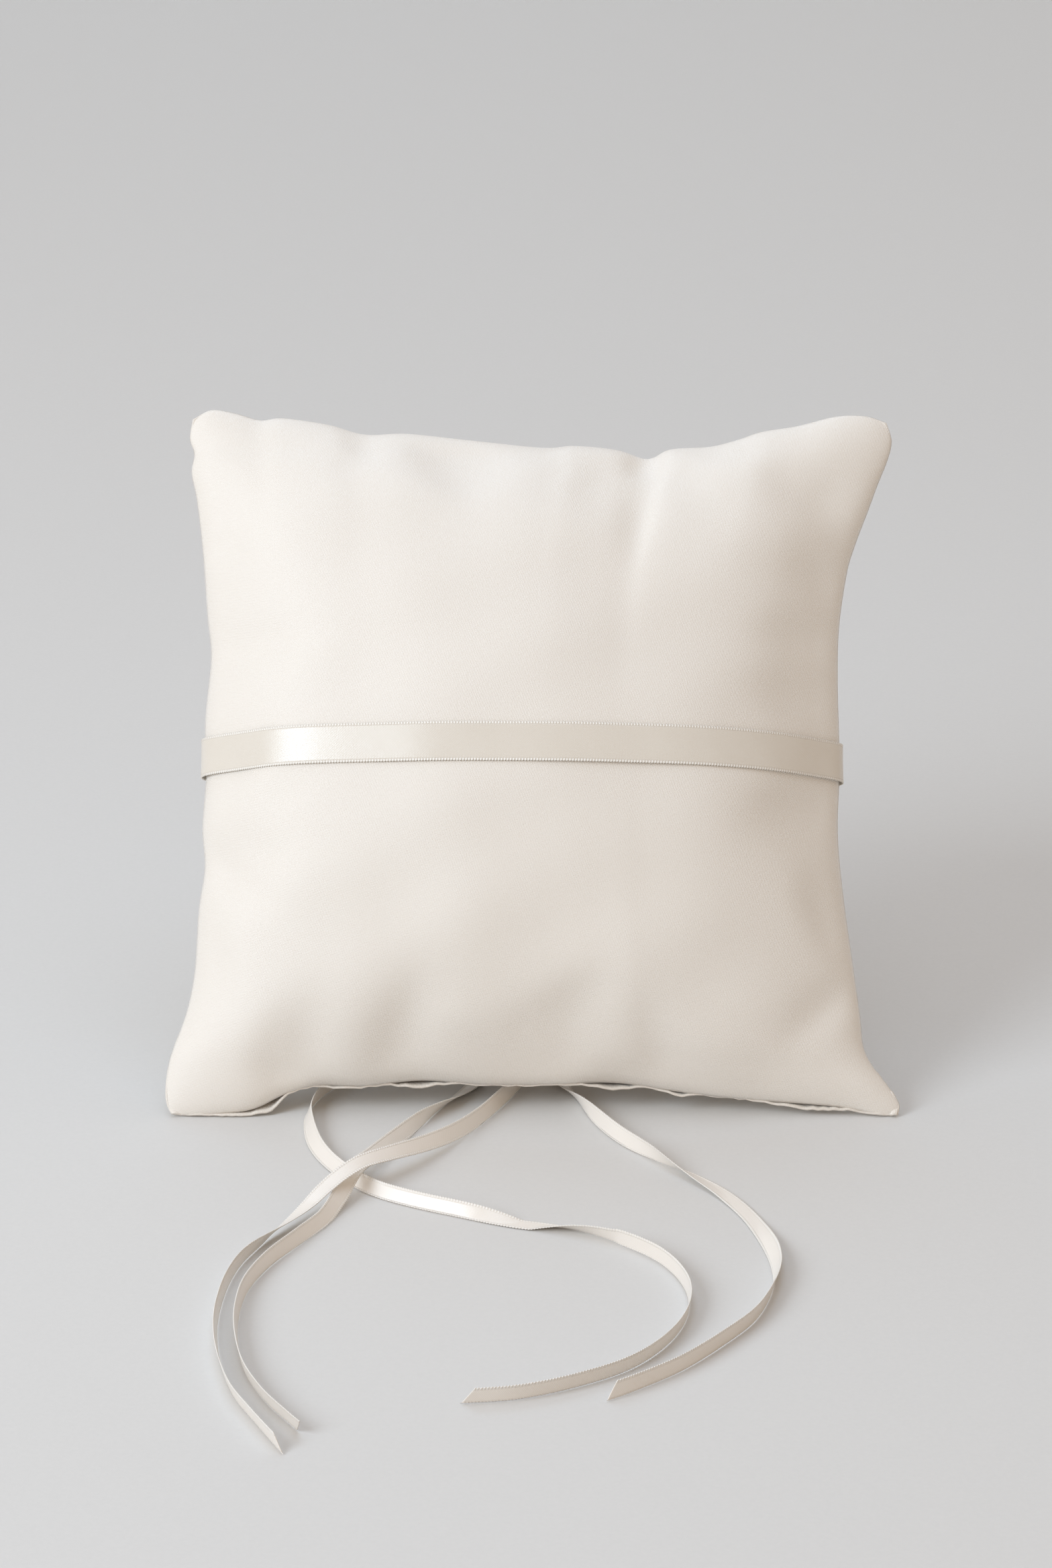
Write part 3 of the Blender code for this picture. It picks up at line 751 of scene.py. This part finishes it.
def taut_line(count=900, clearance=0.00045, seam_roll=0.0006, spread=3):
    """The ribbon's centre line round the cushion, from under the bow and back to it."""
    outline = taut_outline(cushion_section())
    loop = even_points(np.column_stack([outline, np.zeros(len(outline))]), count + 1)[:-1, :2]
    ahead = np.roll(loop, -2, axis=0) - np.roll(loop, 2, axis=0)
    ahead /= np.linalg.norm(ahead, axis=1)[:, None]
    proud = clearance + seam_roll * np.exp(-((loop[:, 1] / 0.006) ** 2))
    loop = loop + np.column_stack([ahead[:, 1], -ahead[:, 0]]) * proud[:, None]
    loop = sum(np.roll(loop, step, axis=0) for step in range(-spread, spread + 1))
    loop /= 2 * spread + 1
    first = int(np.argmin(np.abs(loop[:, 0]) + (loop[:, 1] < 0)))
    loop = np.roll(loop, -first, axis=0)
    loop = np.vstack([loop, loop[:1]])
    return place(loop[:, 0], loop[:, 1], band_height(loop[:, 0]))


path = taut_line()
band_way = np.tile(UP, (len(path), 1))
waist_band = lay_ribbon("waist_band", path, band_way, BAND_WIDTH, BAND_THICKNESS)
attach(waist_band, "root")
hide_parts("waist_ribbon")

# %% [markdown]
# ## The bow
# The bow is on the hidden front. Each loop is a length of the same ribbon that leaves the
# knot, turns and comes back, the tails hang below at a slant, and a short wrap makes the
# knot.

# %% Bow loops and tails
KNOT_OUT = 0.0440
KNOT_UP = 0.0965


def strip_on_pillow(name, marks, slant=0.0):
    """The bow's ribbon along marks of across, out, up and turn; its width is near up."""
    line = even_points(smooth_line([place(*np.array(m[:3])) for m in marks]), 240)
    share = np.linspace(0, 1, len(line))
    turn = np.radians(np.interp(share, np.linspace(0, 1, len(marks)), [m[3] for m in marks]))
    ahead = np.gradient(line, axis=0)
    ahead /= np.linalg.norm(ahead, axis=1)[:, None]
    way = UP - (ahead @ UP)[:, None] * ahead
    way /= np.linalg.norm(way, axis=1)[:, None]
    face = np.cross(ahead, way)
    way = way * np.cos(turn)[:, None] + face * np.sin(turn)[:, None]
    return lay_ribbon(name, line, way, BAND_WIDTH, BAND_THICKNESS, end_slant=slant)


def dress_ribbon(piece, node):
    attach(piece, "root")
    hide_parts(node)
    print(piece.name, len(piece.data.polygons), "faces")


# Across, out from the knot and up in metres, and the ribbon's turn in degrees.
LOOP_MARKS = [(0.0005, -0.0002, 0.0965, 0), (0.006, 0.0022, 0.0968, 4),
              (0.017, 0.0040, 0.0972, 8), (0.0275, 0.0030, 0.0972, 8),
              (0.0318, 0.0008, 0.0968, 6), (0.0275, -0.0008, 0.0962, 3),
              (0.016, -0.0010, 0.0960, 0), (0.005, -0.0008, 0.0963, 0),
              (0.0005, -0.0006, 0.0965, 0)]
BOW_TAIL_MARKS = [(0.0030, 0.0, 0.0935, 0), (0.0060, 0.0003, 0.0880, 6),
                  (0.0108, 0.0006, 0.0790, 10), (0.0160, 0.0002, 0.0700, 10),
                  (0.0195, -0.0004, 0.0640, 8)]

bow_pieces = []
for side, word in ((-1, "left"), (1, "right")):
    loop_marks = [(side * across, KNOT_OUT + out, up, turn)
                  for across, out, up, turn in LOOP_MARKS]
    loop = strip_on_pillow(f"bow_{word}_loop", loop_marks)
    dress_ribbon(loop, f"bow_loop_{word}")
    tail_out = KNOT_OUT + 0.0002 * side  # where they start, one tail lies over the other
    tail_marks = [(side * across, tail_out + out, up, side * turn)
                  for across, out, up, turn in BOW_TAIL_MARKS]
    tail = strip_on_pillow(f"bow_{word}_tail", tail_marks, slant=0.006)
    dress_ribbon(tail, f"bow_tail_{word}")
    bow_pieces += [loop, tail]

# %% [markdown]
# ## The knot
# A short piece of the same ribbon wraps the bow's middle. It goes round as a flat ring
# that is drawn narrower and lightly creased at mid height, as a tight wrap is.

# %% Knot wrap
WRAP_WIDTH = 0.0078
WRAP_THICKNESS = 0.0004


def wrap_marks(sides=16, deep=0.0030, high=0.0066):
    """The wrap's way round the bow's middle, as across, out and up."""
    middle_out = KNOT_OUT + 0.0004
    marks = []
    for step in range(sides + 1):
        turn = math.radians(step * 360 / sides + 90)
        marks.append((0.0, middle_out + deep * math.sin(turn) * (1.15 if step < 9 else 0.9),
                      KNOT_UP + high * math.cos(turn)))
    return marks


wrap_line = even_points(smooth_line([place(*np.array(mark)) for mark in wrap_marks()]), 200)
knot = lay_ribbon("bow_wrap", wrap_line, np.tile(ACROSS, (200, 1)), WRAP_WIDTH,
                  WRAP_THICKNESS)
points = np.empty(len(knot.data.vertices) * 3)
knot.data.vertices.foreach_get("co", points)
points = points.reshape(-1, 3)
up = (points - CORNER_LINE) @ UP
points[:, 0] *= 0.80 + 0.20 * smooth_step(0.0, 0.005, np.abs(up - KNOT_UP))  # pinched
points += OUT * (0.0004 * np.cos(points[:, 0] * 1900))[:, None]
knot.data.vertices.foreach_set("co", points.ravel())
knot.data.update()
dress_ribbon(knot, "bow_knot")


# %% [markdown]
# ## The folded middles of the narrow ribbons
# Under the knot the two narrow ribbons are folded in half and sewn down, and their four
# ends leave from there. Each half is a short strip, and the four are joined as one piece.

# %% Folded middles
def fold_strip(number):
    """One half of a folded narrow ribbon, from under the knot to its free end."""
    start = (number - 2.5) * TAIL_PITCH
    marks = [place(np.array(start * share), FOLD_OUT - 0.0006 * (number % 2) + rise, np.array(up))
             for share, rise, up in ((0.30, -0.0004, 0.0995), (0.55, -0.0004, 0.0965),
                                     (0.80, -0.0002, 0.0925), (1.0, 0.0, FOLD_BOTTOM - 0.0002))]
    line = even_points(smooth_line(marks), 60)
    return lay_ribbon(f"fold_half_{number}", line, np.tile(ACROSS, (60, 1)), TAIL_WIDTH,
                      TAIL_THICKNESS)


halves = [fold_strip(number) for number in (1, 2, 3, 4)]
bpy.ops.object.select_all(action="DESELECT")
for half in halves:
    half.select_set(True)
bpy.context.view_layer.objects.active = halves[0]
bpy.ops.object.join()
ribbon_fold = bpy.context.object
ribbon_fold.name = ribbon_fold.data.name = "ring_ribbon_middles"
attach(ribbon_fold, "root")
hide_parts("ring_ribbon_fold")

# %% [markdown]
# ## Finishes as sums of nodes
# A fabric's colour and relief are sums of waves and noise. One small class wraps a socket
# so that the sums are written as they are on paper.


# %% Socket wrapper
class Wire:
    """A socket of a finish, or the start of one; sums on it add Math nodes."""

    def __init__(self, tree, socket=None):
        self.tree = tree
        self.socket = socket

    def add(self, kind, settings=None, inputs=None, out=0):
        node = self.tree.nodes.new(kind)
        for name, value in (settings or {}).items():
            if name == "stops":
                ramp = node.color_ramp
                while len(ramp.elements) < len(value):
                    ramp.elements.new(1.0)
                for element, (position, color) in zip(ramp.elements, value):
                    element.position, element.color = position, color
            else:
                setattr(node, name, value)
        for name, value in (inputs or {}).items():
            if isinstance(value, Wire):
                self.tree.links.new(value.socket, node.inputs[name])
            else:
                node.inputs[name].default_value = value
        return Wire(self.tree, node.outputs[out]) if len(node.outputs) else node

    def maths(self, operation, first, second=0.0):
        return self.add("ShaderNodeMath", {"operation": operation}, {0: first, 1: second})

    def __add__(self, other):
        return self.maths("ADD", self, other)

    def __radd__(self, other):
        return self.maths("ADD", other, self)

    def __sub__(self, other):
        return self.maths("SUBTRACT", self, other)

    def __rsub__(self, other):
        return self.maths("SUBTRACT", other, self)

    def __mul__(self, other):
        return self.maths("MULTIPLY", self, other)

    def __rmul__(self, other):
        return self.maths("MULTIPLY", other, self)

    def __truediv__(self, other):
        return self.maths("DIVIDE", self, other)

    def __pow__(self, other):
        return self.maths("POWER", self, other)


def start_finish(name):
    finish = bpy.data.materials.new(name)
    finish.use_nodes = True
    finish.node_tree.nodes.clear()
    return finish, Wire(finish.node_tree)


def sine(value):
    return value.maths("SINE", value)


def absolute(value):
    return value.maths("ABSOLUTE", value)


def noise(wire, where, scale, detail=2.0, roughness=0.5):
    return wire.add("ShaderNodeTexNoise", None,
                    {"Vector": where, "Scale": scale, "Detail": detail, "Roughness": roughness})


def mixed(wire, share, dark, light):
    """One colour that goes from dark to light as share goes from 0 to 1."""
    return wire.add("ShaderNodeMix", {"data_type": "RGBA"}, {0: share, 6: dark, 7: light}, out=2)


def end_finish(wire, color, rough, height, distance, constants):
    """The surface shader, with relief from height in metres."""
    bump = wire.add("ShaderNodeBump", None,
                    {"Strength": 1.0, "Distance": distance, "Height": height})
    shader = wire.add("ShaderNodeBsdfPrincipled", None,
                      {"Base Color": color, "Roughness": rough, "Normal": bump, **constants})
    wire.add("ShaderNodeOutputMaterial", None, {"Surface": shader})


def dress(piece, finish):
    piece.data.materials.clear()
    piece.data.materials.append(finish)


# %% [markdown]
# ## Ivory satin of the covers
# The covers are a fine satin-backed twill. Its threads cross at a slant about every 0.6
# millimetres, the colour drifts slightly from place to place, and the face has a soft
# sheen that is never mirror-like.

# %% Cover satin
IVORY_LIGHT = (0.880, 0.838, 0.782, 1)
IVORY_DARK = (0.835, 0.785, 0.718, 1)


def cover_satin(name, light, dark, gloss):
    finish, wire = start_finish(name)
    cloth_map = wire.add("ShaderNodeTexCoord", out=2)
    x = wire.add("ShaderNodeSeparateXYZ", None, {0: cloth_map}, out=0)
    y = wire.add("ShaderNodeSeparateXYZ", None, {0: cloth_map}, out=1)
    wobble = noise(wire, cloth_map, 260.0, 2.0)
    warp = sine(x * 8900.0 + y * 5200.0 + wobble * 3.0)
    weft = sine(x * 5200.0 - y * 8900.0 + wobble * 3.0)
    twill = (warp * weft) * 0.5 + 0.5
    crepe = noise(wire, cloth_map, 1500.0, 2.0, 0.6)
    drift = noise(wire, cloth_map, 22.0, 3.0)
    share = twill * 0.22 + crepe * 0.40 + drift * 0.38
    color = mixed(wire, share, dark, light)
    rough = gloss + crepe * 0.14 + drift * 0.06
    height = twill * 0.45 + crepe * 0.55
    end_finish(wire, color, rough, height, 0.00012,
               {"Sheen Weight": 0.35, "Sheen Roughness": 0.45, "Specular IOR Level": 0.5})
    return finish


ivory_satin = cover_satin("ivory satin", IVORY_LIGHT, IVORY_DARK, 0.36)
pleated_satin = cover_satin("pleated ivory satin", (0.88, 0.83, 0.765, 1),
                            (0.82, 0.765, 0.69, 1), 0.30)
for piece in (back_cover, lining):
    dress(piece, ivory_satin)
dress(pleated_cover, pleated_satin)

# %% [markdown]
# ## Ribbon satin
# Ribbon is glossier than the covers. Fine wales run across it, and each picot of the selvedge
# is painted as a pale bead, a painted highlight, with painted shade between beads and in the
# groove.

# %% Ribbon satin
def ribbon_satin(name, width, light, dark, gloss):
    finish, wire = start_finish(name)
    cloth_map = wire.add("ShaderNodeTexCoord", out=2)
    across = wire.add("ShaderNodeSeparateXYZ", None, {0: cloth_map}, out=0)
    along = wire.add("ShaderNodeSeparateXYZ", None, {0: cloth_map}, out=1)
    from_middle = absolute(across / width - 0.5) * 2.0
    selvedge_start, selvedge_full = 1 - 0.0014 / width, 1 - 0.0010 / width
    groove_middle, groove_half = 1 - 0.0013 / width, 0.0004 / width
    edge = wire.add("ShaderNodeMapRange", None,
                    {0: from_middle, 1: selvedge_start, 2: selvedge_full})
    groove_and_shade = wire.add("ShaderNodeMapRange", {"interpolation_type": "SMOOTHSTEP"},
                      {0: absolute(from_middle - groove_middle),
                       1: 0.0, 2: groove_half, 3: 1.0, 4: 0.0})
    bead_and_highlight = sine(along * (2 * math.pi / PICOT)) * 0.5 + 0.5
    wale = sine(along * 14000.0 + across * 9000.0) * 0.5 + 0.5
    warp = noise(wire, wire.add("ShaderNodeMapping", None, {0: cloth_map, 3: (6000, 300, 1)}),
                 1.0, 1.0)
    drift = noise(wire, cloth_map, 90.0, 2.0)
    # Painted shade: the colour is darkened along the groove just inside the picots, which is also
    # sunk in the relief below.
    face = wale * 0.20 + warp * 0.15 + drift * 0.30 + 0.18 - groove_and_shade * 0.5
    # Painted shade and highlight: on the selvedge the colour goes dark between picots and light on
    # each one.
    share = (1 - edge) * face + edge * (bead_and_highlight * 1.1 - 0.1)
    color = mixed(wire, share, dark, light)
    # Painted highlight: each picot is painted towards a pale colour, as if it caught the light.
    color = mixed(wire, edge * (bead_and_highlight * 0.8 + 0.1), color, (0.93, 0.90, 0.85, 1))
    rough = gloss + edge * 0.18 + warp * 0.04
    height = (1 - edge) * (wale * 0.20 + warp * 0.08 - groove_and_shade * 0.6) + edge * bead_and_highlight * 1.4
    end_finish(wire, color, rough, height, 0.00006,
               {"Anisotropic": 0.5, "Sheen Weight": 0.2, "Sheen Roughness": 0.4,
                "Specular IOR Level": 0.75})
    return finish


wide_satin = ribbon_satin("wide ribbon satin", BAND_WIDTH, (0.83, 0.785, 0.715, 1),
                          (0.70, 0.645, 0.565, 1), 0.22)
narrow_satin = ribbon_satin("narrow ribbon satin", TAIL_WIDTH, (0.91, 0.865, 0.81, 1),
                            (0.85, 0.795, 0.725, 1), 0.27)
for piece in (waist_band, knot, *bow_pieces):
    dress(piece, wide_satin)
for piece in (*ribbon_ends, ribbon_fold):
    dress(piece, narrow_satin)

# %% [markdown]
# ## Filling fibre
# Polyester fibre is white and matt, with a felted, curly surface.

# %% Fibre
fibre, wire = start_finish("polyester fibre")
room = wire.add("ShaderNodeTexCoord", out=3)
curl = noise(wire, room, 700.0, 6.0, 0.7)
clump = noise(wire, room, 90.0, 3.0)
end_finish(wire, mixed(wire, curl * 0.5 + clump * 0.5, (0.78, 0.78, 0.77, 1), (0.9, 0.9, 0.9, 1)),
           0.85 + curl * 0.1, curl + clump * 2.0, 0.0006, {"Sheen Weight": 0.3})
dress(filling, fibre)

# %% [markdown]
# ## Sweep
# The pillow stands on pale grey paper that curves up behind it. A plane's back edge is
# extruded upwards, and a bevel rounds the fold. Only that edge is selected first, because
# a face that is still selected would be extruded too and close the sweep into a box.

# %% Sweep
SWEEP_SIZE = 8
SWEEP_MIDDLE = -1.0

bpy.ops.object.select_all(action="DESELECT")
bpy.ops.mesh.primitive_plane_add(size=SWEEP_SIZE, location=(0, SWEEP_MIDDLE, floor_z))
sweep = bpy.context.object
sweep.name = sweep.data.name = "paper_sweep"
bpy.ops.object.mode_set(mode="EDIT")
bpy.ops.mesh.select_mode(type="EDGE")
bpy.ops.mesh.select_all(action="DESELECT")
edit = bmesh.from_edit_mesh(sweep.data)
for edge in edit.edges:
    if all(v.co.y > 0.45 * SWEEP_SIZE for v in edge.verts):  # the back edge
        edge.select_set(True)
bmesh.update_edit_mesh(sweep.data)
bpy.ops.mesh.extrude_region_move(TRANSFORM_OT_translate={"value": (0, 0, 4)})
bpy.ops.object.mode_set(mode="OBJECT")
select_only(sweep)
bpy.ops.object.transform_apply(location=True, rotation=True, scale=True)
bend = sweep.modifiers.new("sweep bend", "BEVEL")
bend.width = 1.2
bend.segments = 24
bend.limit_method = "ANGLE"
bpy.ops.object.modifier_apply(modifier=bend.name)
bpy.ops.object.shade_smooth()
print("sweep", len(sweep.data.polygons), "faces")
paper, wire = start_finish("grey paper")
room = wire.add("ShaderNodeTexCoord", out=3)
fleck = noise(wire, room, 900.0, 2.0)
end_finish(wire, mixed(wire, fleck, (0.666, 0.658, 0.644, 1), (0.702, 0.692, 0.677, 1)),
           0.75 + fleck * 0.1, fleck, 0.00002, {"Specular IOR Level": 0.25})
dress(sweep, paper)

# %% [markdown]
# ## Lights
# One large soft light stands at the left and in front, a weaker one hangs above, and a
# third lights the paper behind. The room gives a warm light from all sides, which keeps
# the shaded side of the ivory satin warm.


# %% Lights
def soft_light(name, where, aim, size, power, tint):
    bpy.ops.object.select_all(action="DESELECT")
    bpy.ops.object.light_add(type="AREA", location=where)
    light = bpy.context.object
    light.name = name
    light.data.shape = "DISK"
    light.data.size = size
    light.data.energy = power
    light.data.color = tint
    direction = Vector(aim) - Vector(where)
    light.rotation_euler = direction.to_track_quat("-Z", "Y").to_euler()
    return light


middle = Vector((0, 0, 0))
soft_light("window light", (-1.35, -1.05, 0.95), middle, 1.1, 23.3, (0.78, 0.89, 1.0))
soft_light("overhead light", (0.1, -0.2, 1.9), middle, 1.6, 9.0, (0.56, 0.76, 1.0))
soft_light("background light", (-0.4, 2.2, 2.4), (0, 1.9, floor_z), 2.4, 30, (0.61, 0.80, 1.0))
world = bpy.data.worlds.new("studio")
bpy.context.scene.world = world
world.use_nodes = True
world.node_tree.nodes["Background"].inputs["Color"].default_value = (1.0, 0.80, 0.61, 1)
world.node_tree.nodes["Background"].inputs["Strength"].default_value = 0.525
